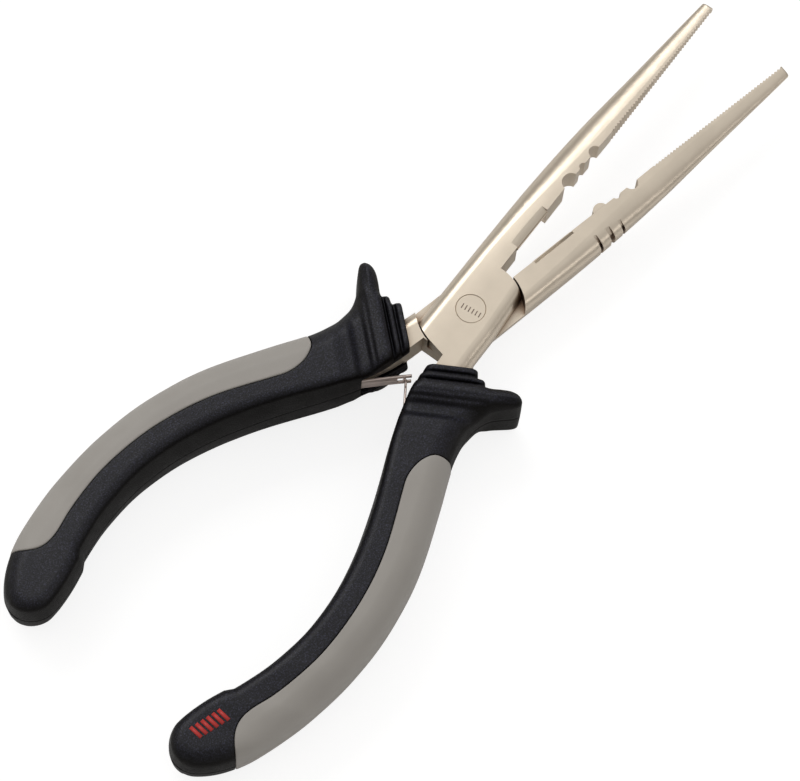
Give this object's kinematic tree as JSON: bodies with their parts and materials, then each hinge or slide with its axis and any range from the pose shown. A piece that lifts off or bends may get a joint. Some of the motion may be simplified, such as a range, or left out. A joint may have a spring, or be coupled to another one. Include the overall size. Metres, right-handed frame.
{
  "type": "fishing pliers",
  "caption": "Long-nose pliers with lap joint, leaf-spring return, side cutter, crimping notches and finger guards on two-material grips, shown part open.",
  "frame": {"origin": "centre of the bounding box in the rest pose; the pivot axis is 13.373 mm from it towards the jaw tips, and the mid plane of the joint passes through it", "axes": "+X along the tool towards the jaw tips, midway between the two jaws; +Y towards the jaw of the upper half; +Z along the pivot axis, out of the face where the upper half's cheek lies"},
  "size_m": [0.2168, 0.0784, 0.0198],
  "materials": {
    "nickel_steel": "satin nickel plate",
    "rivet_steel": "satin nickel plate",
    "spring_steel": "rolled strip",
    "black_grip": "fine grained",
    "grey_inlay": "smooth matte"
  },
  "bodies": {
    "upper_side": {"upper_half": "nickel_steel", "pivot_rivet": "rivet_steel", "right_grip": "black_grip", "right_inlay": "grey_inlay"},
    "lower_side": {"lower_half": "nickel_steel", "left_grip": "black_grip", "left_inlay": "grey_inlay"},
    "tongue_spring": {"tongue_leaf": "spring_steel"},
    "fork_spring": {"fork_leaf": "spring_steel"}
  },
  "joints": [
    {"name": "jaw_hinge", "type": "hinge", "parent": "upper_side", "child": "lower_side", "pos_m": [0.01337, 0, 0], "axis": [0, 0, 1], "range_deg": [-3, 12.6]},
    {"name": "tongue_flex", "type": "hinge", "parent": "upper_side", "child": "tongue_spring", "pos_m": [-0.01579, -0.00647, 0], "axis": [0, 0, 1], "range_deg": [-14.8, 3.7]},
    {"name": "fork_flex", "type": "hinge", "parent": "lower_side", "child": "fork_spring", "pos_m": [-0.01579, 0.00647, 0], "axis": [0, 0, 1], "range_deg": [-3.7, 14.8]}
  ],
  "couplings": [
    {"joint": "tongue_flex", "follows": "jaw_hinge", "ratio": -1.154},
    {"joint": "fork_flex", "follows": "jaw_hinge", "ratio": 1.154}
  ]
}
